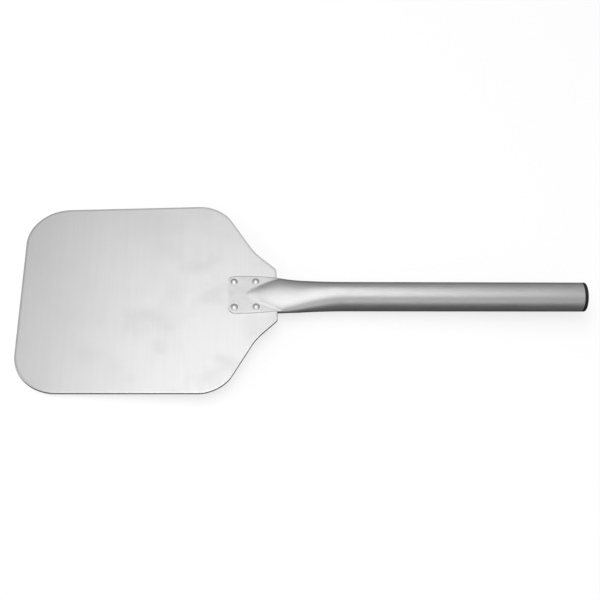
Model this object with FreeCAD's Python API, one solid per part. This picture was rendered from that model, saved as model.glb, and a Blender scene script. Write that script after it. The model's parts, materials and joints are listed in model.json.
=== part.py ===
"""Pizza peel: a sheet-aluminium blade riveted into the slotted, pressed end of a round tube handle.

Working frame, in millimetres: X runs along the handle's axis towards its far end, with x = 0 at
the blade's neck end, Y is across the blade and +Z is up. table_frame() gives the move from there
to the frame that is written out, where the peel lies on the plane z = 0.
"""
import FreeCAD
import Part
import math
import os

Vec = FreeCAD.Vector

# Blade: one flat sheet. Its outline is measured along the sheet from the neck end.
BLADE_THICKNESS = 3.2
BLADE_LENGTH = 326.0
FRONT_WIDTH = 275.0
REAR_WIDTH = 284.6
SHOULDER_RUN = 72.0
FLARE_RUN = 28.0
FLARE_WIDTH = 132.0
NECK_WIDTH = 77.4
FRONT_CORNER_RADIUS = 55.0
SHOULDER_RADIUS = 46.0
FLARE_RADIUS = 70.0
NECK_CORNER_RADIUS = 6.0
BLADE_EDGE_ROUND = 0.5

# How the blade sits on the handle: its top face at the neck end above the tube's axis, and the
# angle at which it slopes down from there to its front edge.
BLADE_RISE = 5.2
BLADE_SLOPE = 1.5

# Handle: a round tube, slotted and pressed flat over the blade's neck. The two halves of the
# pressed end are the tongues, each half the tube's girth wide. Ahead of the bulge they are flat.
TUBE_DIAMETER = 38.1
TUBE_WALL = 1.5
TUBE_REACH = 399.0
TONGUE_LENGTH = 63.0
TONGUE_CORNER_RADIUS = 9.0
FOLD_RUN = 24.0
FOLD_RADIUS = 60.0
ROUND_START = 90.0

# Rivets: a rectangle of four solid rivets through both tongues and the blade.
RIVET_DIAMETER = 4.8
RIVET_HEAD_DIAMETER = 9.5
RIVET_HEAD_HEIGHT = 1.4
RIVET_TAIL_DIAMETER = 8.0
RIVET_TAIL_HEIGHT = 1.5
RIVET_END_DISTANCE = 8.0
RIVET_SIDE_DISTANCE = 9.5
RIVET_ROW_GAP = 28.0

# Bulge: where the tube opens between the tongues, measured along X from the rear rivets so that
# it passes between them. Its tip starts just under the tongues' outer faces.
BULGE_TIP_LEAD = 18.0
BULGE_CROWN_LEAD = 36.0
BULGE_SIDE_LEAD = 25.0
BULGE_SIDE_RUN = 57.0
BULGE_COVER = 1.1
AXIS_SHIFT_LAG = 7.0
AXIS_SHIFT_RUN = 50.0

# End cap: a hollow plastic plug with grip ribs and a flange as wide as the tube.
CAP_FLANGE = 5.0
CAP_FLANGE_ROUND = 1.8
CAP_SPIGOT = 24.0
CAP_WALL = 2.2
CAP_RIB_HEIGHT = 0.6
CAP_RIB_WIDTH = 2.0
CAP_RIB_LEAD = 3.0
CAP_RIB_PITCH = 6.0
CAP_RIBS = 3

# Stations along the part of the tube that opens from flat to round.
SECTION_STEPS = 12

TUBE_RADIUS = TUBE_DIAMETER / 2
BORE_RADIUS = TUBE_RADIUS - TUBE_WALL
TONGUE_WIDTH = math.pi * (TUBE_DIAMETER - TUBE_WALL) / 2
FRONT_ROW = RIVET_END_DISTANCE - TONGUE_LENGTH
REAR_ROW = FRONT_ROW + RIVET_ROW_GAP
BULGE_TIP = REAR_ROW - BULGE_TIP_LEAD
FLAT_HALF_HEIGHT = BLADE_THICKNESS / 2 + TUBE_WALL
SLOPE = math.radians(BLADE_SLOPE)


def smooth(start, end, x):
    """0 before start, 1 after end, and an S curve between."""
    t = min(max((x - start) / (end - start), 0.0), 1.0)
    return t * t * (3 - 2 * t)


def rounded_outline(corners):
    """A closed wire through corners, each (x, y, radius), with an arc where radius isn't 0."""
    starts = []
    ends = []
    middles = []
    count = len(corners)
    for i, (x, y, radius) in enumerate(corners):
        corner = Vec(x, y, 0)
        before = (Vec(*corners[i - 1][:2], 0) - corner).normalize()
        after = (Vec(*corners[(i + 1) % count][:2], 0) - corner).normalize()
        half = before.getAngle(after) / 2
        inward = (before + after).normalize()
        starts.append(corner + before * (radius / math.tan(half)))
        ends.append(corner + after * (radius / math.tan(half)))
        middles.append(corner + inward * (radius / math.sin(half) - radius))
    edges = []
    for i in range(count):
        if corners[i][2] > 0:
            edges.append(Part.Arc(starts[i], middles[i], ends[i]).toShape())
        edges.append(Part.LineSegment(ends[i], starts[(i + 1) % count]).toShape())
    return Part.Wire(edges)


def on_blade(shape):
    """Place a shape made flat, with z = 0 as the blade's top face, where the blade lies."""
    seat = FreeCAD.Placement(Vec(0, 0, BLADE_RISE), FreeCAD.Rotation(Vec(0, 1, 0), -BLADE_SLOPE))
    placed = shape.copy()
    placed.transformShape(seat.toMatrix())
    return placed


def rivet_places():
    """Name and place, on the blade, of each rivet."""
    side = TONGUE_WIDTH / 2 - RIVET_SIDE_DISTANCE
    for row, x in (("front", FRONT_ROW), ("rear", REAR_ROW)):
        yield f"rivet_{row}_left", x, side
        yield f"rivet_{row}_right", x, -side


def rivet_holes():
    """Cylinders that cut the rivet holes through everything at the neck."""
    reach = TUBE_DIAMETER
    shanks = [Part.makeCylinder(RIVET_DIAMETER / 2, 2 * reach, Vec(x, y, -reach))
              for _, x, y in rivet_places()]
    return on_blade(Part.makeCompound(shanks))


def blade():
    """The flat sheet with its rounded front corners, shoulders and neck."""
    half_outline = [
        (-BLADE_LENGTH, FRONT_WIDTH / 2, FRONT_CORNER_RADIUS),
        (-SHOULDER_RUN, REAR_WIDTH / 2, SHOULDER_RADIUS),
        (-FLARE_RUN, FLARE_WIDTH / 2, FLARE_RADIUS),
        (0.0, NECK_WIDTH / 2, NECK_CORNER_RADIUS),
    ]
    mirrored = [(x, -y, radius) for x, y, radius in reversed(half_outline)]
    outline = rounded_outline(half_outline + mirrored)
    sheet = Part.Face(outline).extrude(Vec(0, 0, -BLADE_THICKNESS))
    rims = [edge for edge in sheet.Edges if edge.BoundBox.ZLength < BLADE_THICKNESS / 2]
    sheet = sheet.makeFillet(BLADE_EDGE_ROUND, rims)
    return on_blade(sheet).cut(rivet_holes())


def middle_height(x):
    """Height of the widest line round the tube at x: the sheet's middle, then the tube's axis."""
    sheet_middle = BLADE_RISE - BLADE_THICKNESS / 2 + x * math.tan(SLOPE)
    start = REAR_ROW + AXIS_SHIFT_LAG
    return sheet_middle * (1 - smooth(start, start + AXIS_SHIFT_RUN, x))


def crown_height(x):
    """Half the outside height of the tube at x. It starts inside the pressed plate."""
    start = FLAT_HALF_HEIGHT - BULGE_COVER
    return start + (TUBE_RADIUS - start) * smooth(REAR_ROW - BULGE_CROWN_LEAD, ROUND_START, x)


def half_width(x):
    """Half the outside width of the tube at x: it opens evenly as a wedge, then narrows."""
    start = REAR_ROW - BULGE_SIDE_LEAD
    opened = min(max((x - start) / BULGE_SIDE_RUN, 0.0), 1.0)
    flat = TONGUE_WIDTH / 2
    return opened * (flat + (TUBE_RADIUS - flat) * smooth(BULGE_TIP, ROUND_START, x))


def section(x, inset):
    """Ellipse round the tube at x, moved in by inset."""
    centre = Vec(x, 0, middle_height(x))
    side = centre + Vec(0, half_width(x) - inset, 0)
    crown = centre + Vec(0, 0, crown_height(x) - inset)
    return Part.Wire([Part.Ellipse(side, crown, centre).toShape()])


def round_section(inset):
    """The circle where the pressed part becomes the round tube."""
    circle = Part.Circle(Vec(ROUND_START, 0, 0), Vec(1, 0, 0), TUBE_RADIUS - inset)
    circle.XAxis = Vec(0, 1, 0)
    return Part.Wire([circle.toShape()])


def tube_form(inset):
    """The opening bulge and the round tube as one solid, moved in by inset all round."""
    step = (ROUND_START - BULGE_TIP) / SECTION_STEPS
    wires = [section(BULGE_TIP + step * i, inset) for i in range(SECTION_STEPS)]
    opening = Part.makeLoft(wires + [round_section(inset)], True, False)
    length = TUBE_REACH - ROUND_START
    straight = Part.makeCylinder(TUBE_RADIUS - inset, length, Vec(ROUND_START, 0, 0), Vec(1, 0, 0))
    return opening.fuse(straight)


def pressed_plate():
    """The two tongues as one plate: rounded at its end, and narrowing into the tube's sides."""
    half = TONGUE_WIDTH / 2
    merged = half_width(FOLD_RUN) - TUBE_WALL
    half_outline = [
        (-TONGUE_LENGTH, half, TONGUE_CORNER_RADIUS),
        (-FOLD_RUN / 2, half, FOLD_RADIUS),
        (FOLD_RUN, merged, 0.0),
    ]
    mirrored = [(x, -y, radius) for x, y, radius in reversed(half_outline)]
    plate = Part.Face(rounded_outline(half_outline + mirrored))
    plate = plate.extrude(Vec(0, 0, -BLADE_THICKNESS - 2 * TUBE_WALL))
    plate.translate(Vec(0, 0, TUBE_WALL))
    return on_blade(plate)


def slot():
    """The slab that the blade's neck fills between the two tongues."""
    slab = Part.makeBox(2 * TONGUE_LENGTH, 2 * TONGUE_WIDTH, BLADE_THICKNESS)
    slab.translate(Vec(-2 * TONGUE_LENGTH, -TONGUE_WIDTH, -BLADE_THICKNESS))
    return on_blade(slab)


def handle_tube():
    """Round tube whose slotted end is pressed on both faces of the blade's neck."""
    outside = tube_form(0.0).fuse(pressed_plate())
    return outside.cut(tube_form(TUBE_WALL)).cut(slot()).cut(rivet_holes())


def dome_arc(rim, pole):
    """Arc of the circle centred on the Z axis that runs from rim to pole."""
    height = pole.z - rim.z
    radius = (rim.x ** 2 + height ** 2) / (2 * abs(height))
    centre = pole.z - math.copysign(radius, height)
    half = math.asin(rim.x / radius) / 2
    middle = Vec(radius * math.sin(half), 0, centre + math.copysign(radius * math.cos(half), height))
    return Part.Arc(rim, middle, pole)


def rivet(x, y):
    """Solid rivet with a domed head on the upper tongue and a lower dome under the other one."""
    shank = RIVET_DIAMETER / 2
    head = RIVET_HEAD_DIAMETER / 2
    tail = RIVET_TAIL_DIAMETER / 2
    top = TUBE_WALL
    bottom = -BLADE_THICKNESS - TUBE_WALL
    crown = Vec(0, 0, top + RIVET_HEAD_HEIGHT)
    foot = Vec(0, 0, bottom - RIVET_TAIL_HEIGHT)
    profile = [
        dome_arc(Vec(head, 0, top), crown),
        Part.LineSegment(crown, foot),
        dome_arc(Vec(tail, 0, bottom), foot),
        Part.LineSegment(Vec(tail, 0, bottom), Vec(shank, 0, bottom)),
        Part.LineSegment(Vec(shank, 0, bottom), Vec(shank, 0, top)),
        Part.LineSegment(Vec(shank, 0, top), Vec(head, 0, top)),
    ]
    outline = Part.Wire(Part.__sortEdges__([curve.toShape() for curve in profile]))
    solid = Part.Face(outline).revolve(Vec(0, 0, 0), Vec(0, 0, 1), 360)
    solid.translate(Vec(x, y, 0))
    return on_blade(solid)


def end_cap():
    """Hollow plug: a flange on the tube's end and a ribbed spigot inside its bore."""
    flange = Part.makeCylinder(TUBE_RADIUS, CAP_FLANGE, Vec(TUBE_REACH, 0, 0), Vec(1, 0, 0))
    rim = [edge for edge in flange.Edges if edge.BoundBox.XMin > TUBE_REACH + CAP_FLANGE / 2]
    flange = flange.makeFillet(CAP_FLANGE_ROUND, rim)
    mouth = TUBE_REACH - CAP_SPIGOT
    core = BORE_RADIUS - CAP_RIB_HEIGHT
    cap = flange.fuse(Part.makeCylinder(core, CAP_SPIGOT, Vec(mouth, 0, 0), Vec(1, 0, 0)))
    for i in range(CAP_RIBS):
        rib_x = mouth + CAP_RIB_LEAD + CAP_RIB_PITCH * i
        rib = Part.makeCylinder(BORE_RADIUS, CAP_RIB_WIDTH, Vec(rib_x, 0, 0), Vec(1, 0, 0))
        cap = cap.fuse(rib)
    return cap.cut(Part.makeCylinder(core - CAP_WALL, CAP_SPIGOT, Vec(mouth, 0, 0), Vec(1, 0, 0)))


def table_frame():
    """Matrix to the frame written out: lying on z = 0 on the blade's front edge and the tube.

    The peel rests where the tube's belly reaches lowest, so the tilt is the steepest that any
    place along the opening part asks for, tried every millimetre.
    """
    front_x = -BLADE_LENGTH * math.cos(SLOPE) + BLADE_THICKNESS * math.sin(SLOPE)
    front_z = BLADE_RISE - BLADE_LENGTH * math.sin(SLOPE) - BLADE_THICKNESS * math.cos(SLOPE)
    tilt = 0.0
    for x in range(0, math.ceil(ROUND_START) + 1):
        drop = front_z - middle_height(x) + crown_height(x)
        tilt = max(tilt, math.atan2(drop, x - front_x))
    turn = FreeCAD.Rotation(Vec(0, 1, 0), -math.degrees(tilt))
    front = turn.multVec(Vec(front_x, 0, front_z))
    back = turn.multVec(Vec(TUBE_REACH + CAP_FLANGE, 0, 0))
    middle = (front.x + back.x) / 2
    return FreeCAD.Placement(Vec(-middle, 0, -front.z), turn).toMatrix()


def build():
    """Every piece by the name of its node."""
    pieces = {"blade": blade(), "handle_tube": handle_tube(), "end_cap": end_cap()}
    for name, x, y in rivet_places():
        pieces[name] = rivet(x, y)
    return pieces


os.makedirs("parts", exist_ok=True)
frame = table_frame()
for node, shape in build().items():
    shape.transformShape(frame)
    shape.exportStep(f"parts/{node}.step")
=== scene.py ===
"""Studio picture of an all-aluminium pizza peel lying on a pale table.

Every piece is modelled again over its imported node: the sheet blade with a broken edge, the tube
whose slotted end is pressed over the blade's neck, four formed rivets and the moulded end plug.
"""
import bpy
import json
import math
from mathutils import Matrix, Vector


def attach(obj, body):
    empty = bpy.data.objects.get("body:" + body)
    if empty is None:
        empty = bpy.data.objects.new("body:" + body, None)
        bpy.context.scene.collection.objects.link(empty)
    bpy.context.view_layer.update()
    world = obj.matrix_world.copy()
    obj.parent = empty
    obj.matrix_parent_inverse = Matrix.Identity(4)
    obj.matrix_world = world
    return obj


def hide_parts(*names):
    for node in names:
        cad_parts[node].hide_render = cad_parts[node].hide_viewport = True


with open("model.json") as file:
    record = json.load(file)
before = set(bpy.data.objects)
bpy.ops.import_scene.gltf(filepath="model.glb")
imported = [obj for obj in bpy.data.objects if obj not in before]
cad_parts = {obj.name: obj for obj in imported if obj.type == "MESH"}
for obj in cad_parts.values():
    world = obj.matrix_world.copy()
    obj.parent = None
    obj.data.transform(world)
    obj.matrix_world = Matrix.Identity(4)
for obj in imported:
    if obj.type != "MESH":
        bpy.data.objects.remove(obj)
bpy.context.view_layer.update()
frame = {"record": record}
GRIP = frame["record"]["mounts"][0]

# Sizes in metres. The pieces are made in the handle's own axes: x = 0 at the blade's neck end and
# on the tube's axis, +x towards the far end, +z up.
MM = 0.001

# The round tube
TUBE_RADIUS = GRIP["dims"]["r_mm"] * MM
GRIP_LENGTH = GRIP["dims"]["length_mm"] * MM
TUBE_WALL = 1.5 * MM
ROUND_START = 90 * MM
TUBE_END = ROUND_START + GRIP_LENGTH
RING_SIDES = 192
TONGUE_STEP = 1.45 * MM
GRIP_STEP = 40 * MM
BORE_STEP = 4 * MM

# The blade, and how it sits on the handle
BLADE_LENGTH = 326 * MM
BLADE_THICKNESS = 3.2 * MM
BLADE_RISE = 5.2 * MM
BLADE_SLOPE = math.radians(1.5)
REAR_HALF = 142.3 * MM
EDGE_ROUND = 0.5 * MM
RIM_STRIP = 3 * MM
SHEET_RUB = 1.5 * MM
CORNER_STEPS = 28
# Each corner of one half of the outline: place along and across the blade, and its radius.
BLADE_CORNERS = (
    (-BLADE_LENGTH, 137.5 * MM, 55 * MM),
    (-72 * MM, REAR_HALF, 46 * MM),
    (-28 * MM, 66 * MM, 70 * MM),
    (0.0, 38.7 * MM, 6 * MM),
)

# The two tongues pressed on the blade, each half the tube's girth wide
TONGUE_LENGTH = 63 * MM
TONGUE_CORNER = 9 * MM
TONGUE_RUB = 1.6 * MM
TONGUE_HALF = math.pi * (2 * TUBE_RADIUS - TUBE_WALL) / 4
PLATE_HALF_HEIGHT = BLADE_THICKNESS / 2 + TUBE_WALL
SLOT_CLEARANCE = 0.1 * MM
# The tongues' square edges soften into the tube's round sides between these two places.
SOFTEN_START = -10 * MM
SOFTEN_END = 45 * MM
EDGE_POWER = 60

# Rivets
REAR_ROW = -27 * MM
RIVET_ROW_GAP = 28 * MM
RIVET_SIDE_DISTANCE = 9.5 * MM
RIVET_RADIUS = 2.4 * MM
HEAD_RADIUS = 4.75 * MM
HEAD_HEIGHT = 1.4 * MM
TAIL_RADIUS = 4 * MM
TAIL_HEIGHT = 1.5 * MM
HEAD_LAND = 0.3 * MM
POLE_RADIUS = 0.15 * MM
RIVET_SIDES = 48
HOLE_SIDES = 32
TUBE_DRILL = 8 * BLADE_THICKNESS
SHEET_DRILL = 4 * BLADE_THICKNESS

# The bulge where the tube opens between the tongues. Leads are measured ahead of the rear rivets
# and AXIS_SHIFT_LAG behind them, and BORE_LAG and CREASE_RUN behind the bulge's tip.
BULGE_TIP = REAR_ROW - 18 * MM
BULGE_SIDE_LEAD = 25 * MM
BULGE_SIDE_RUN = 57 * MM
BULGE_CROWN_LEAD = 36 * MM
BULGE_COVER = 1.1 * MM
AXIS_SHIFT_LAG = 7 * MM
AXIS_SHIFT_RUN = 50 * MM
CREASE_BLEND = 0.8 * MM
CREASE_RUN = 15 * MM
BORE_LAG = 2 * MM
BORE_OVERRUN = 1 * MM
LEAST_BORE = 0.2 * MM
LEAST_BULGE = 0.1 * MM

# The end plug
CAP_FLANGE = 5 * MM
CAP_ROUND = 1.8 * MM
CAP_SPIGOT = 24 * MM
CAP_WALL = 2.2 * MM
CAP_RIB_HEIGHT = 0.6 * MM
CAP_RIB_WIDTH = 2 * MM
CAP_RIB_LEAD = 3 * MM
CAP_RIB_PITCH = 6 * MM
CAP_RIBS = 3
DISH_RADIUS = 13 * MM
DISH_DEPTH = 0.7 * MM
DISH_RUN = 2 * DISH_DEPTH
FLANGE_STEPS = 6
DISH_STEPS = 4
PLUG_SIDES = 96

# After carving, points closer than this are welded.
WELD_GAP = 0.01 * MM

# Camera: place and distance in metres, turns in degrees, lens in millimetres
CAMERA_TARGET = Vector((-9.5, -5.2, 17.3)) * MM
CAMERA_DISTANCE = 1.5056
CAMERA_AZIMUTH = -9.83
CAMERA_ELEVATION = 56.74
CAMERA_ROLL = 9.28
CAMERA_LENS = 70.2

# Table and light. The camera sees the table and the surroundings nearly white; the peel's own
# reflections see them dimmer.
TABLE_SIZE = 12
TABLE_COLOUR = 0.45
TABLE_GLOW = 0.75
TABLE_DIM_COLOUR = 0.14
SURROUNDINGS = 0.25
SURROUNDINGS_SEEN = 0.93
# Each softbox: name, place, point that it faces, width and length, and watts.
SOFTBOXES = (
    ("overhead", (-0.22, 0.28, 1.75), (-0.22, 0.28, 0), (1.04, 2.4), 9.7),
    ("front", (0.33, -0.62, 1.75), (0.33, -0.62, 0), (0.42, 1.4), 1.8),
    ("blade_end", (-2.3, 0, 0.9), (0, 0, 0), (2.2, 1.2), 8.0),
    ("handle_end", (2.3, 0, 0.9), (0, 0, 0), (2.2, 1.2), 0.9),
    ("fill", (-0.1, -2.4, 1.0), (0, 0, 0), (2.4, 1.3), 4.6),
)

# Finishes. Noise stretches are in grains per metre along x, y and z.
STREAK_SHADE = 0.98
RUBBED_SHADE = 1.06
BRIGHTEST = 0.95
SMUDGE_DULLING = 0.045
RUBBED_POLISH = 0.1
SLOW_WAVES = (16, 16, 16)
SMUDGES = (22, 30, 30)
SCRATCH_PATCHES = (35, 35, 35)
# Two sets of hairlines: the angle that they run at, and their stretch.
SCRATCHES = ((0.5, (14, 1500, 1500)), (-0.9, (22, 1900, 1900)))
NICKS = (260, 260, 260)
SPECKLE = (1400, 1400, 1400)
SPECKLE_DEPTH = 0.03 * MM


def handle_axes():
    """Matrix from the handle's own axes to the frame."""
    along = Vector(GRIP["axis"]).normalized()
    across = Vector((0, 1, 0))
    middle = Vector(GRIP["pos_m"])
    origin = middle - along * (ROUND_START + GRIP_LENGTH / 2)
    turn = Matrix((along, across, along.cross(across))).transposed().to_4x4()
    return Matrix.Translation(origin) @ turn


HANDLE = handle_axes()
ON_BLADE = HANDLE @ Matrix.Translation((0, 0, BLADE_RISE)) @ Matrix.Rotation(-BLADE_SLOPE, 4, "Y")


# ---------------------------------------------------------------- modelling by hand
def deselect_all():
    """Operators act on all that is selected, so each piece starts with nothing selected."""
    bpy.ops.object.select_all(action="DESELECT")


def pick(piece):
    """Make piece the only selected object."""
    deselect_all()
    piece.select_set(True)
    bpy.context.view_layer.objects.active = piece


def edit(piece, mode="VERT"):
    """Enter edit mode on piece with nothing selected."""
    pick(piece)
    bpy.ops.object.mode_set(mode="EDIT")
    bpy.ops.mesh.select_mode(type=mode)
    bpy.ops.mesh.select_all(action="DESELECT")


def leave_edit():
    """Go back to object mode."""
    bpy.ops.object.mode_set(mode="OBJECT")


def choose(piece, mode, wanted):
    """Enter edit mode with the vertices, edges or faces selected that wanted says yes to."""
    edit(piece, mode)
    leave_edit()
    parts = {"VERT": piece.data.vertices, "EDGE": piece.data.edges, "FACE": piece.data.polygons}
    for part in parts[mode]:
        part.select = wanted(part)
    bpy.ops.object.mode_set(mode="EDIT")


def add_modifier(piece, kind, **settings):
    """Add a modifier, set it and apply it."""
    pick(piece)
    modifier = piece.modifiers.new(kind.lower(), kind)
    for name, value in settings.items():
        setattr(modifier, name, value)
    bpy.ops.object.modifier_apply(modifier=modifier.name)


def carve(piece, cutter):
    """Cut cutter out of piece and remove it."""
    add_modifier(piece, "BOOLEAN", operation="DIFFERENCE", solver="EXACT", object=cutter)
    bpy.data.objects.remove(cutter, do_unlink=True)


def weld(piece):
    """Split a carved piece into triangles and weld the slivers that the cuts left."""
    edit(piece)
    bpy.ops.mesh.select_all(action="SELECT")
    bpy.ops.mesh.quads_convert_to_tris(quad_method="BEAUTY", ngon_method="BEAUTY")
    bpy.ops.mesh.remove_doubles(threshold=WELD_GAP)
    bpy.ops.mesh.dissolve_degenerate(threshold=WELD_GAP)
    leave_edit()


def seat(piece, matrix):
    """Put a piece's place in its mesh, so that its object stays at the origin."""
    piece.data.transform(matrix)
    piece.data.update()


def store_wear(piece, closeness):
    """Keep, at each vertex, how near it is to an edge that rubs: 1 on the edge, 0 away from it."""
    layer = piece.data.attributes.new("rim_wear", "FLOAT", "POINT")
    for vertex in piece.data.vertices:
        layer.data[vertex.index].value = min(max(closeness(vertex.co), 0.0), 1.0)


def finish_piece(piece, node, material, angle=35):
    """Shade a piece, give it its material and let it stand for its node."""
    piece.data.materials.clear()
    piece.data.materials.append(material)
    pick(piece)
    bpy.ops.object.shade_smooth_by_angle(angle=math.radians(angle))
    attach(piece, "root")
    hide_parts(node)


def smooth(start, end, x):
    """0 before start, 1 after end, and an S curve between."""
    t = min(max((x - start) / (end - start), 0.0), 1.0)
    return t * t * (3 - 2 * t)


def soft_max(a, b, blend):
    """The larger of a and b, rounded over where they cross."""
    return (a + b + math.sqrt((a - b) ** 2 + blend ** 2)) / 2


# ---------------------------------------------------------------- the handle tube
def middle_height(x):
    """Height of the widest line round the tube: the sheet's middle, then the tube's axis."""
    sheet_middle = BLADE_RISE - BLADE_THICKNESS / 2 + x * math.tan(BLADE_SLOPE)
    start = REAR_ROW + AXIS_SHIFT_LAG
    return sheet_middle * (1 - smooth(start, start + AXIS_SHIFT_RUN, x))


def crown_height(x):
    """Half the outside height of the tube."""
    start = PLATE_HALF_HEIGHT - BULGE_COVER
    return start + (TUBE_RADIUS - start) * smooth(REAR_ROW - BULGE_CROWN_LEAD, ROUND_START, x)


def side_half_width(x):
    """Half the width across the tongues and then across the tube."""
    return TONGUE_HALF + (TUBE_RADIUS - TONGUE_HALF) * smooth(BULGE_TIP, ROUND_START, x)


def bulge_half_width(x):
    """Half the width of the hollow bulge, which opens as an even wedge between the tongues."""
    start = REAR_ROW - BULGE_SIDE_LEAD
    opened = min(max((x - start) / BULGE_SIDE_RUN, 0.0), 1.0)
    return opened * side_half_width(x)


def tongue_half_width(x):
    """Half the pressed end's width, drawn in round its two corners."""
    corner = TONGUE_CORNER - TONGUE_LENGTH
    reach = max(corner - x, 0.0)
    return side_half_width(x) - TONGUE_CORNER + math.sqrt(max(TONGUE_CORNER ** 2 - reach ** 2, 0))


def bore_point(x, turn):
    """A point on the bore of the bulge or the tube, at turn from straight up."""
    side = max(bulge_half_width(x) - TUBE_WALL, LEAST_BORE)
    crown = max(crown_height(x) - TUBE_WALL, LEAST_BORE)
    return Vector((x, side * math.sin(turn), middle_height(x) + crown * math.cos(turn)))


def outside_point(x, turn):
    """A point on the outside: the flat tongues, the bulge that opens in them, then the tube."""
    side = tongue_half_width(x)
    y = side * math.sin(turn)
    across = y / max(bulge_half_width(x), LEAST_BULGE)
    bulge = crown_height(x) * math.sqrt(max(1 - across ** 2, 0))
    opened = smooth(SOFTEN_START, SOFTEN_END, x)
    power = EDGE_POWER + (2 - EDGE_POWER) * opened
    plate = PLATE_HALF_HEIGHT * math.sqrt(max(1 - abs(math.sin(turn)) ** power, 0))
    blend = CREASE_BLEND * smooth(BULGE_TIP, BULGE_TIP + CREASE_RUN, x) * (1 - opened)
    height = soft_max(plate, bulge, blend * min(plate / PLATE_HALF_HEIGHT, 1.0))
    return Vector((x, y, middle_height(x) + math.copysign(height, math.cos(turn))))


def ring_tube(name, stations, point):
    """A closed form: a ring extruded from station to station, then shaped by point."""
    deselect_all()
    bpy.ops.mesh.primitive_circle_add(vertices=RING_SIDES, radius=TUBE_RADIUS, fill_type="NGON",
                                      rotation=(0, math.pi / 2, 0), location=(stations[0], 0, 0))
    tube = bpy.context.object
    tube.name = name
    bpy.ops.object.transform_apply(location=True, rotation=True, scale=True)
    edit(tube)
    bpy.ops.mesh.select_all(action="SELECT")
    for before, after in zip(stations, stations[1:]):
        bpy.ops.mesh.extrude_region_move(TRANSFORM_OT_translate={"value": (after - before, 0, 0)})
    leave_edit()
    for vertex in tube.data.vertices:
        x, y, z = vertex.co
        vertex.co = point(x, math.atan2(y, z))
    edit(tube)
    bpy.ops.mesh.select_all(action="SELECT")
    bpy.ops.mesh.normals_make_consistent(inside=False)
    leave_edit()
    return tube


def spread(start, end, step):
    """Places from start to end, about step apart, without start itself."""
    count = max(round((end - start) / step), 1)
    return [start + (end - start) * i / count for i in range(1, count + 1)]


def outside_stations():
    """Close together round the tongues' corners, even along the opening, sparse along the grip."""
    corner = TONGUE_CORNER - TONGUE_LENGTH
    turns = [math.radians(angle) for angle in range(84, -1, -12)]
    places = [corner - TONGUE_CORNER * math.sin(turn) for turn in turns]
    places += spread(corner, ROUND_START, TONGUE_STEP)
    return places + spread(ROUND_START, TUBE_END, GRIP_STEP)


def rivet_places():
    """Name and place on the blade of each rivet."""
    side = TONGUE_HALF - RIVET_SIDE_DISTANCE
    for row, x in (("front", REAR_ROW - RIVET_ROW_GAP), ("rear", REAR_ROW)):
        yield f"rivet_{row}_left", x, side
        yield f"rivet_{row}_right", x, -side


def make_handle(material):
    """The slotted and pressed tube, hollow all the way."""
    handle = ring_tube("handle", outside_stations(), outside_point)
    start = BULGE_TIP + BORE_LAG
    places = [start] + spread(start, ROUND_START, BORE_STEP) + [TUBE_END + BORE_OVERRUN]
    bore = ring_tube("bore", places, bore_point)
    carve(handle, bore)
    deselect_all()
    bpy.ops.mesh.primitive_cube_add(size=1)
    slab = bpy.context.object
    length = 2 * TONGUE_LENGTH
    size = Matrix.Diagonal((length, length, BLADE_THICKNESS, 1))
    place = Matrix.Translation((SLOT_CLEARANCE - length / 2, 0, -BLADE_THICKNESS / 2))
    seat(slab, HANDLE.inverted() @ ON_BLADE @ place @ size)
    carve(handle, slab)
    for _, x, y in rivet_places():
        hole = round_bar(RIVET_RADIUS, TUBE_DRILL, (x, y, 0))
        seat(hole, HANDLE.inverted() @ ON_BLADE)
        carve(handle, hole)
    weld(handle)
    store_wear(handle, tongue_wear)
    seat(handle, HANDLE)
    finish_piece(handle, "handle_tube", material)


def tongue_wear(point):
    """Bright rubbed edge round the tongues."""
    gap = tongue_half_width(point.x) - abs(point.y)
    gap = min(gap, point.x + TONGUE_LENGTH)
    return 0.0 if point.x > 0 else 1 - gap / TONGUE_RUB


# ---------------------------------------------------------------- the blade
def round_corners(sheet, radii):
    """Bevel each corner of a flat outline so that it becomes an arc of its radius."""
    places = [vertex.co.copy() for vertex in sheet.data.vertices]
    for i, (corner, radius) in enumerate(zip(places, radii)):
        before = places[i - 1] - corner
        after = places[(i + 1) % len(places)] - corner
        run = radius / math.tan(before.angle(after) / 2)
        choose(sheet, "VERT", lambda vertex: (vertex.co - corner).length < EDGE_ROUND)
        bpy.ops.mesh.bevel(offset_type="OFFSET", offset=run, segments=CORNER_STEPS,
                           affect="VERTICES")
        leave_edit()


def distance_to_outline(point, outline):
    """Distance in plan from point to the closed line through outline."""
    nearest = REAR_HALF
    for start, end in zip(outline, outline[1:] + outline[:1]):
        side = end - start
        share = min(max((point.xy - start).dot(side) / side.length_squared, 0.0), 1.0)
        nearest = min(nearest, (point.xy - start - side * share).length)
    return nearest


def outline_of(sheet):
    """The points round a flat sheet's one face, in order, in plan."""
    face = sheet.data.polygons[0]
    return [sheet.data.vertices[i].co.xy.copy() for i in face.vertices]


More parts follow.
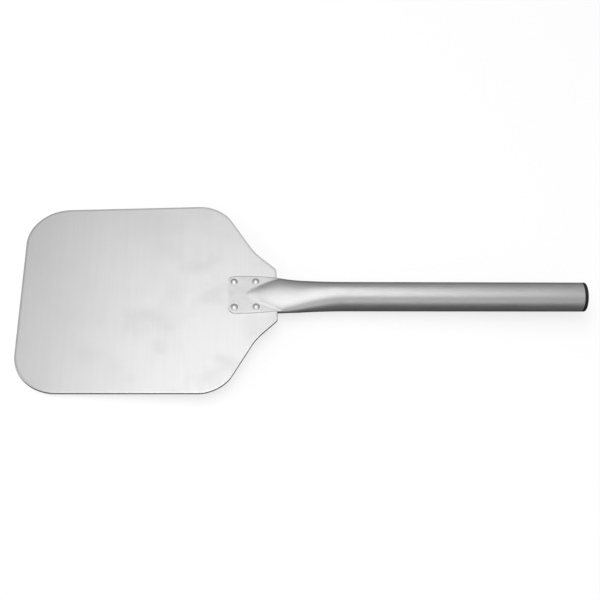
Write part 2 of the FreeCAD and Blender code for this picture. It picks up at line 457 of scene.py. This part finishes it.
def make_blade(material):
    """A sheet cut to its outline, with rounded corners, broken edges and four rivet holes."""
    mirrored = [(x, -y, radius) for x, y, radius in reversed(BLADE_CORNERS)]
    corners = list(BLADE_CORNERS) + mirrored
    deselect_all()
    bpy.ops.mesh.primitive_circle_add(vertices=len(corners), radius=REAR_HALF, fill_type="NGON")
    blade = bpy.context.object
    blade.name = "blade_sheet"
    for vertex, (x, y, radius) in zip(blade.data.vertices, corners):
        vertex.co = (x, y, 0)
    round_corners(blade, [radius for x, y, radius in corners])
    outline = outline_of(blade)
    edit(blade, "FACE")
    bpy.ops.mesh.select_all(action="SELECT")
    bpy.ops.mesh.extrude_region_move(TRANSFORM_OT_translate={"value": (0, 0, -BLADE_THICKNESS)})
    bpy.ops.mesh.select_all(action="SELECT")
    bpy.ops.mesh.normals_make_consistent(inside=False)
    leave_edit()
    choose(blade, "EDGE", lambda edge: lies_level(blade, edge))
    bpy.ops.mesh.bevel(offset=EDGE_ROUND, segments=3, affect="EDGES")
    leave_edit()
    choose(blade, "FACE", lambda face: abs(face.normal.z) > 0.99 and face.area > REAR_HALF ** 2)
    bpy.ops.mesh.inset(thickness=RIM_STRIP)
    leave_edit()
    for _, x, y in rivet_places():
        carve(blade, round_bar(RIVET_RADIUS, SHEET_DRILL, (x, y, 0)))
    store_wear(blade, lambda point: 1 - distance_to_outline(point, outline) / SHEET_RUB)
    seat(blade, ON_BLADE)
    finish_piece(blade, "blade", material)


def lies_level(sheet, edge):
    """True for an edge round the top or the bottom of a flat sheet."""
    first, second = (sheet.data.vertices[i].co for i in edge.vertices)
    return abs(first.z - second.z) < EDGE_ROUND


def round_bar(radius, length, place):
    """A plain upright bar, to cut a hole with."""
    deselect_all()
    bpy.ops.mesh.primitive_cylinder_add(vertices=HOLE_SIDES, radius=radius, depth=length,
                                        location=place)
    bar = bpy.context.object
    bpy.ops.object.transform_apply(location=True, rotation=True, scale=True)
    return bar


# ---------------------------------------------------------------- rivets and end plug
def turned_piece(name, profile, sides):
    """A round piece about the Z axis: a disc drawn up and resized through (height, radius)."""
    deselect_all()
    height, radius = profile[0]
    bpy.ops.mesh.primitive_circle_add(vertices=sides, radius=radius, fill_type="NGON",
                                      location=(0, 0, height))
    piece = bpy.context.object
    piece.name = name
    bpy.ops.object.transform_apply(location=True, rotation=True, scale=True)
    edit(piece, "FACE")
    bpy.ops.mesh.select_all(action="SELECT")
    for (low, narrow), (high, wide) in zip(profile, profile[1:]):
        bpy.ops.mesh.extrude_region_move(TRANSFORM_OT_translate={"value": (0, 0, high - low)})
        bpy.ops.transform.resize(value=(wide / narrow, wide / narrow, 1),
                                 center_override=(0, 0, high))
    bpy.ops.mesh.select_all(action="SELECT")
    bpy.ops.mesh.normals_make_consistent(inside=False)
    leave_edit()
    return piece


def dome(base, radius, height, steps=8):
    """(height, radius) pairs from a dome's rim at base up, or down, to its pole."""
    sphere = (radius ** 2 + height ** 2) / (2 * abs(height))
    reach = math.asin(radius / sphere)
    pairs = []
    for step in range(steps + 1):
        angle = reach * (1 - step / steps)
        rise = sphere * math.cos(angle) - sphere + abs(height)
        wide = max(sphere * math.sin(angle), POLE_RADIUS)
        pairs.append((base + math.copysign(rise, height), wide))
    return pairs


def make_rivets(material):
    """One rivet, with its domed head and formed tail, and a copy of it at each place."""
    top = TUBE_WALL
    bottom = -BLADE_THICKNESS - TUBE_WALL
    head = dome(top + HEAD_LAND, HEAD_RADIUS, HEAD_HEIGHT - HEAD_LAND)
    tail = dome(bottom - HEAD_LAND, TAIL_RADIUS, HEAD_LAND - TAIL_HEIGHT)
    tail.reverse()
    shank = [(bottom, TAIL_RADIUS), (bottom, RIVET_RADIUS), (top, RIVET_RADIUS)]
    model = turned_piece("rivet", tail + shank + [(top, HEAD_RADIUS)] + head, RIVET_SIDES)
    store_wear(model, lambda point: (point.z - top) / HEAD_HEIGHT)
    for name, x, y in rivet_places():
        rivet = model.copy()
        rivet.data = model.data.copy()
        rivet.name = name.replace("rivet", "set_rivet")
        bpy.context.scene.collection.objects.link(rivet)
        seat(rivet, ON_BLADE @ Matrix.Translation((x, y, 0)))
        finish_piece(rivet, name, material, angle=40)
    bpy.data.objects.remove(model, do_unlink=True)


def make_end_plug(material):
    """The moulded plug: hollow ribbed spigot, flange with a rounded edge, and a dished end."""
    bore = TUBE_RADIUS - TUBE_WALL
    core = bore - CAP_RIB_HEIGHT
    profile = [(0.0, POLE_RADIUS), (0.0, core - CAP_WALL), (-CAP_SPIGOT, core - CAP_WALL),
               (-CAP_SPIGOT, core)]
    for i in range(CAP_RIBS):
        rib = CAP_RIB_LEAD + CAP_RIB_PITCH * i - CAP_SPIGOT
        back = rib + CAP_RIB_WIDTH
        profile += [(rib, core), (rib, bore), (back, bore), (back, core)]
    profile += [(0.0, core), (0.0, TUBE_RADIUS)]
    for step in range(FLANGE_STEPS + 1):
        angle = math.radians(90) * step / FLANGE_STEPS
        profile.append((CAP_FLANGE - CAP_ROUND * (1 - math.sin(angle)),
                        TUBE_RADIUS - CAP_ROUND * (1 - math.cos(angle))))
    for step in range(DISH_STEPS + 1):
        share = step / DISH_STEPS
        profile.append((CAP_FLANGE - DISH_DEPTH * smooth(0, 1, share),
                        DISH_RADIUS - DISH_RUN * share))
    profile.append((CAP_FLANGE - DISH_DEPTH, POLE_RADIUS))
    plug = turned_piece("end_plug", profile, PLUG_SIDES)
    store_wear(plug, plug_wear)
    lay_along = Matrix.Rotation(math.radians(90), 4, "Y")
    seat(plug, HANDLE @ Matrix.Translation((TUBE_END, 0, 0)) @ lay_along)
    finish_piece(plug, "end_cap", material)


def plug_wear(point):
    """Scuffed on the rounded edge of the flange."""
    edge = Vector((TUBE_RADIUS - CAP_ROUND, CAP_FLANGE - CAP_ROUND))
    gap = Vector((point.xy.length, point.z)) - edge
    return min(gap.x, gap.y) / CAP_ROUND * 2


# ---------------------------------------------------------------- camera, table and light
def add_camera():
    """Camera above the near side of the peel, rolled so that the handle lies level."""
    azimuth = math.radians(CAMERA_AZIMUTH)
    elevation = math.radians(CAMERA_ELEVATION)
    back = Vector((math.sin(azimuth) * math.cos(elevation),
                   -math.cos(azimuth) * math.cos(elevation),
                   math.sin(elevation)))
    camera = bpy.data.objects.new("camera", bpy.data.cameras.new("camera"))
    bpy.context.scene.collection.objects.link(camera)
    aim = (-back).to_track_quat("-Z", "Y").to_matrix().to_4x4()
    roll = Matrix.Rotation(math.radians(CAMERA_ROLL), 4, "Z")
    camera.matrix_world = Matrix.Translation(CAMERA_TARGET + back * CAMERA_DISTANCE) @ aim @ roll
    camera.data.lens = CAMERA_LENS
    camera.data.clip_start = 0.05
    camera.data.clip_end = 20
    bpy.context.scene.camera = camera


def add_softbox(name, place, aim, size, power):
    """A rectangular area light at place, turned to face aim."""
    light = bpy.data.lights.new(name, "AREA")
    light.shape = "RECTANGLE"
    light.size, light.size_y = size
    light.energy = power
    softbox = bpy.data.objects.new(name, light)
    bpy.context.scene.collection.objects.link(softbox)
    softbox.location = place
    softbox.rotation_mode = "QUATERNION"
    softbox.rotation_quaternion = (Vector(aim) - Vector(place)).to_track_quat("-Z", "Y")
    softbox.visible_camera = False


def show_to_camera(tree, unseen, seen, output):
    """Let the camera see one shader while the peel's reflections and the light see the other."""
    path = tree.nodes.new("ShaderNodeLightPath")
    mix = tree.nodes.new("ShaderNodeMixShader")
    tree.links.new(path.outputs["Is Camera Ray"], mix.inputs["Fac"])
    tree.links.new(unseen, mix.inputs[1])
    tree.links.new(seen, mix.inputs[2])
    tree.links.new(mix.outputs["Shader"], tree.nodes[output].inputs["Surface"])


def add_studio():
    """Plain pale table, dim even surroundings, and the softboxes."""
    deselect_all()
    bpy.ops.mesh.primitive_plane_add(size=TABLE_SIZE)
    table = bpy.context.object
    table.name = "table"
    table.data.materials.append(table_material())
    world = bpy.data.worlds.new("studio")
    world.use_nodes = True
    tree = world.node_tree
    unseen = tree.nodes["Background"]
    unseen.inputs["Color"].default_value = (1, 1, 1, 1)
    unseen.inputs["Strength"].default_value = SURROUNDINGS
    seen = tree.nodes.new("ShaderNodeBackground")
    seen.inputs["Color"].default_value = (1, 1, 1, 1)
    seen.inputs["Strength"].default_value = SURROUNDINGS_SEEN
    show_to_camera(tree, unseen.outputs["Background"], seen.outputs["Background"], "World Output")
    bpy.context.scene.world = world
    for name, place, aim, size, power in SOFTBOXES:
        add_softbox(name, place, aim, size, power)


def table_material():
    """White table top that glows a little. The peel sees only its dim matt side."""
    material, shader = new_material("table_white")
    shader.inputs["Base Color"].default_value = (TABLE_COLOUR, TABLE_COLOUR, TABLE_COLOUR, 1)
    shader.inputs["Roughness"].default_value = 0.9
    shader.inputs["Specular IOR Level"].default_value = 0.0
    shader.inputs["Emission Color"].default_value = (1, 1, 1, 1)
    shader.inputs["Emission Strength"].default_value = TABLE_GLOW
    tree = material.node_tree
    dim = tree.nodes.new("ShaderNodeBsdfDiffuse")
    dim.inputs["Color"].default_value = (TABLE_DIM_COLOUR, TABLE_DIM_COLOUR, TABLE_DIM_COLOUR, 1)
    show_to_camera(tree, dim.outputs["BSDF"], shader.outputs["BSDF"], "Material Output")
    return material


# ---------------------------------------------------------------- materials
def new_material(name):
    """An empty node material and its Principled shader."""
    material = bpy.data.materials.new(name)
    material.use_nodes = True
    return material, material.node_tree.nodes["Principled BSDF"]


def new_group(name, inputs, outputs):
    """An empty shader node group with named sockets, and its input and output nodes."""
    group = bpy.data.node_groups.new(name, "ShaderNodeTree")
    for socket, kind in inputs:
        group.interface.new_socket(name=socket, in_out="INPUT", socket_type=kind)
    for socket, kind in outputs:
        group.interface.new_socket(name=socket, in_out="OUTPUT", socket_type=kind)
    return group, group.nodes.new("NodeGroupInput"), group.nodes.new("NodeGroupOutput")


def add_node(tree, kind, **settings):
    """Add a node and set its properties and, by name, the values of its sockets."""
    node = tree.nodes.new(kind)
    for name, value in settings.items():
        if name in node.inputs:
            node.inputs[name].default_value = value
        else:
            setattr(node, name, value)
    return node


def stretched_noise(tree, position, stretch, detail):
    """Noise whose grains are long where stretch is small, in grains per metre."""
    spread_out = add_node(tree, "ShaderNodeVectorMath", operation="MULTIPLY")
    noise = add_node(tree, "ShaderNodeTexNoise", Scale=1.0, Detail=detail)
    tree.links.new(position, spread_out.inputs[0])
    if hasattr(stretch, "is_output"):
        tree.links.new(stretch, spread_out.inputs[1])
    else:
        spread_out.inputs[1].default_value = stretch
    tree.links.new(spread_out.outputs["Vector"], noise.inputs["Vector"])
    return noise.outputs["Fac"]


def shape_mask(tree, value, low, high):
    """Turn a value into a mask that runs from 0 at low to 1 at high."""
    span = add_node(tree, "ShaderNodeMapRange", interpolation_type="SMOOTHSTEP")
    span.inputs["From Min"].default_value = low
    span.inputs["From Max"].default_value = high
    tree.links.new(value, span.inputs["Value"])
    return span.outputs["Result"]


def combine(tree, operation, first, second):
    """One math node. Each operand is a socket or a number."""
    node = add_node(tree, "ShaderNodeMath", operation=operation)
    for socket, operand in zip(node.inputs, (first, second)):
        if hasattr(operand, "is_output"):
            tree.links.new(operand, socket)
        else:
            socket.default_value = operand
    return node.outputs["Value"]


def grain_group():
    """Fine drawn or rolled lines, and broad faint streaks along them."""
    group, enter, leave = new_group(
        "metal_grain",
        [("Position", "NodeSocketVector"), ("Fine", "NodeSocketVector"),
         ("Broad", "NodeSocketVector")],
        [("Lines", "NodeSocketFloat"), ("Streaks", "NodeSocketFloat")])
    lines = stretched_noise(group, enter.outputs["Position"], enter.outputs["Fine"], 4.0)
    streaks = stretched_noise(group, enter.outputs["Position"], enter.outputs["Broad"], 2.0)
    group.links.new(shape_mask(group, lines, 0.3, 0.7), leave.inputs["Lines"])
    group.links.new(shape_mask(group, streaks, 0.3, 0.7), leave.inputs["Streaks"])
    return group


def handling_group():
    """Soft smudges, and sparse hairline scratches that run two ways."""
    group, enter, leave = new_group(
        "handling_marks",
        [("Position", "NodeSocketVector"), ("Scratches", "NodeSocketFloat")],
        [("Smudge", "NodeSocketFloat"), ("Scratch", "NodeSocketFloat")])
    position = enter.outputs["Position"]
    smudge = stretched_noise(group, position, SMUDGES, 3.0)
    group.links.new(shape_mask(group, smudge, 0.42, 0.72), leave.inputs["Smudge"])
    scratches = []
    for angle, stretch in SCRATCHES:
        turned = add_node(group, "ShaderNodeVectorRotate", rotation_type="Z_AXIS", Angle=angle)
        group.links.new(position, turned.inputs["Vector"])
        hair = stretched_noise(group, turned.outputs["Vector"], stretch, 0.0)
        scratches.append(shape_mask(group, hair, 0.76, 0.82))
    either = combine(group, "MAXIMUM", scratches[0], scratches[1])
    patch = stretched_noise(group, position, SCRATCH_PATCHES, 1.0)
    either = combine(group, "MULTIPLY", either, shape_mask(group, patch, 0.45, 0.6))
    scaled = combine(group, "MULTIPLY", either, enter.outputs["Scratches"])
    group.links.new(scaled, leave.inputs["Scratch"])
    return group


def rubbed_group():
    """Edge that handling has rubbed bright, broken up by small nicks."""
    group, enter, leave = new_group(
        "rubbed_edge",
        [("Position", "NodeSocketVector"), ("Nearness", "NodeSocketFloat")],
        [("Rubbed", "NodeSocketFloat")])
    nicks = stretched_noise(group, enter.outputs["Position"], NICKS, 4.0)
    uneven = combine(group, "MULTIPLY", nicks, 0.9)
    ragged = combine(group, "SUBTRACT", enter.outputs["Nearness"], uneven)
    group.links.new(shape_mask(group, ragged, 0.05, 0.55), leave.inputs["Rubbed"])
    return group


GRAIN = grain_group()
HANDLING = handling_group()
RUBBED = rubbed_group()


def use_group(tree, group, position, **values):
    """Place a group, fed with the piece's own coordinates and its own values."""
    node = tree.nodes.new("ShaderNodeGroup")
    node.node_tree = group
    tree.links.new(position, node.inputs["Position"])
    for name, value in values.items():
        if hasattr(value, "is_output"):
            tree.links.new(value, node.inputs[name])
        else:
            node.inputs[name].default_value = value
    return node


def blend_colours(tree, mask, plain, marked):
    """Colour that goes from plain to marked where mask is 1."""
    mix = add_node(tree, "ShaderNodeMix", data_type="RGBA")
    tree.links.new(mask, mix.inputs["Factor"])
    for socket, colour in ((mix.inputs[6], plain), (mix.inputs[7], marked)):
        if hasattr(colour, "is_output"):
            tree.links.new(colour, socket)
        else:
            socket.default_value = (*colour, 1)
    return mix.outputs[2]


def add_bump(tree, height, distance, below=None):
    """Bump of a real depth, on top of another bump when below is given."""
    bump = add_node(tree, "ShaderNodeBump", Strength=1.0, Distance=distance)
    tree.links.new(height, bump.inputs["Height"])
    if below is not None:
        tree.links.new(below, bump.inputs["Normal"])
    return bump.outputs["Normal"]


def metal_material(name, colour, roughness, fine, broad, contrast, waviness, depth, scratches):
    """Satin aluminium: grain, faint streaks, slight waves, smudges, scratches, rubbed edges."""
    material, shader = new_material(name)
    tree = material.node_tree
    shader.inputs["Metallic"].default_value = 1
    position = tree.nodes.new("ShaderNodeTexCoord").outputs["Object"]
    grain = use_group(tree, GRAIN, position, Fine=fine, Broad=broad)
    marks = use_group(tree, HANDLING, position, Scratches=scratches)
    wear = add_node(tree, "ShaderNodeAttribute", attribute_name="rim_wear")
    rubbed = use_group(tree, RUBBED, position, Nearness=wear.outputs["Fac"])
    dull = tuple(channel * STREAK_SHADE for channel in colour)
    bright = tuple(min(channel * RUBBED_SHADE, BRIGHTEST) for channel in colour)
    toned = blend_colours(tree, grain.outputs["Streaks"], dull, colour)
    toned = blend_colours(tree, rubbed.outputs["Rubbed"], toned, bright)
    tree.links.new(toned, shader.inputs["Base Color"])
    rough = combine(tree, "MULTIPLY_ADD", grain.outputs["Lines"], contrast)
    rough.node.inputs[2].default_value = roughness - contrast / 2
    dulling = combine(tree, "MULTIPLY", marks.outputs["Smudge"], SMUDGE_DULLING)
    polish = combine(tree, "MULTIPLY", rubbed.outputs["Rubbed"], RUBBED_POLISH)
    rough = combine(tree, "SUBTRACT", combine(tree, "ADD", rough, dulling), polish)
    tree.links.new(rough, shader.inputs["Roughness"])
    slow = stretched_noise(tree, position, SLOW_WAVES, 1.0)
    normal = add_bump(tree, slow, waviness)
    normal = add_bump(tree, grain.outputs["Lines"], depth, normal)
    unscratched = combine(tree, "SUBTRACT", 1.0, marks.outputs["Scratch"])
    normal = add_bump(tree, unscratched, depth * 2, normal)
    tree.links.new(normal, shader.inputs["Normal"])
    return material


def plug_material():
    """Black moulded plastic with a fine spark-eroded texture and a scuffed, paler edge."""
    material, shader = new_material("moulded_black")
    tree = material.node_tree
    position = tree.nodes.new("ShaderNodeTexCoord").outputs["Object"]
    speckle = stretched_noise(tree, position, SPECKLE, 2.0)
    marks = use_group(tree, HANDLING, position, Scratches=1.0)
    wear = add_node(tree, "ShaderNodeAttribute", attribute_name="rim_wear")
    rubbed = use_group(tree, RUBBED, position, Nearness=wear.outputs["Fac"])
    colour = blend_colours(tree, speckle, (0.016, 0.016, 0.017), (0.028, 0.028, 0.03))
    colour = blend_colours(tree, rubbed.outputs["Rubbed"], colour, (0.05, 0.05, 0.052))
    tree.links.new(colour, shader.inputs["Base Color"])
    rough = combine(tree, "MULTIPLY_ADD", marks.outputs["Smudge"], 0.1)
    rough.node.inputs[2].default_value = 0.5
    tree.links.new(rough, shader.inputs["Roughness"])
    tree.links.new(add_bump(tree, speckle, SPECKLE_DEPTH), shader.inputs["Normal"])
    return material


# ---------------------------------------------------------------- put together
sheet_metal = metal_material("satin_sheet", (0.90, 0.90, 0.905), 0.40, fine=(2600, 25, 2600),
                             broad=(420, 6, 420), contrast=0.05, waviness=0.10 * MM,
                             depth=0.004 * MM, scratches=1.0)
tube_metal = metal_material("drawn_tube", (0.87, 0.87, 0.875), 0.44, fine=(22, 2600, 2600),
                            broad=(5, 520, 520), contrast=0.14, waviness=0.05 * MM,
                            depth=0.012 * MM, scratches=0.7)
rivet_metal = metal_material("formed_rivet", (0.80, 0.80, 0.805), 0.42, fine=(900, 900, 900),
                             broad=(300, 300, 300), contrast=0.08, waviness=0.03 * MM,
                             depth=0.01 * MM, scratches=0.5)
make_blade(sheet_metal)
make_handle(tube_metal)
make_rivets(rivet_metal)
make_end_plug(plug_material())
add_camera()
add_studio()
bpy.context.scene.view_settings.view_transform = "Standard"
